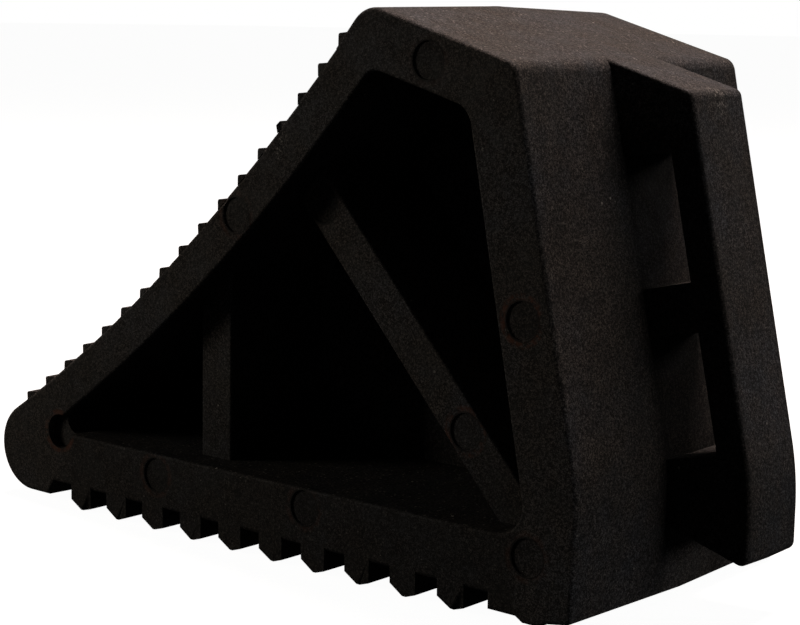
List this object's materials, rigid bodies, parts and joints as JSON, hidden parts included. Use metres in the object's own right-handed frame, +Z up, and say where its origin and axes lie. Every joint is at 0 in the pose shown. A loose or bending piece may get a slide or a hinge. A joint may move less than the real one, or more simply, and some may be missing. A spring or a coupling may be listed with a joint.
{
  "type": "wheel chock",
  "caption": "Solid rubber wheel chock with a hollow ribbed ramp, round nose, cross-bar tread, open side pockets braced by ribs, and a rear carry handle with finger windows.",
  "frame": {"origin": "centre of the footprint, on the level the tread stands on", "axes": "+X from the nose to the handle, +Y across the chock, +Z up"},
  "size_m": [0.2463, 0.102, 0.1528],
  "materials": {
    "black_rubber": "matte"
  },
  "bodies": {
    "root": {"nose": "black_rubber", "ramp_wall": "black_rubber", "top_wall": "black_rubber", "back_wall": "black_rubber", "heel_block": "black_rubber", "base_wall": "black_rubber", "web": "black_rubber", "upright_rib_left": "black_rubber", "upright_rib_right": "black_rubber", "diagonal_rib_left": "black_rubber", "diagonal_rib_right": "black_rubber", "ramp_ridges": "black_rubber", "tread_teeth": "black_rubber", "handle_grip_bar": "black_rubber", "handle_upper_bridge": "black_rubber", "handle_middle_bridge": "black_rubber", "handle_lower_bridge": "black_rubber"}
  },
  "joints": []
}
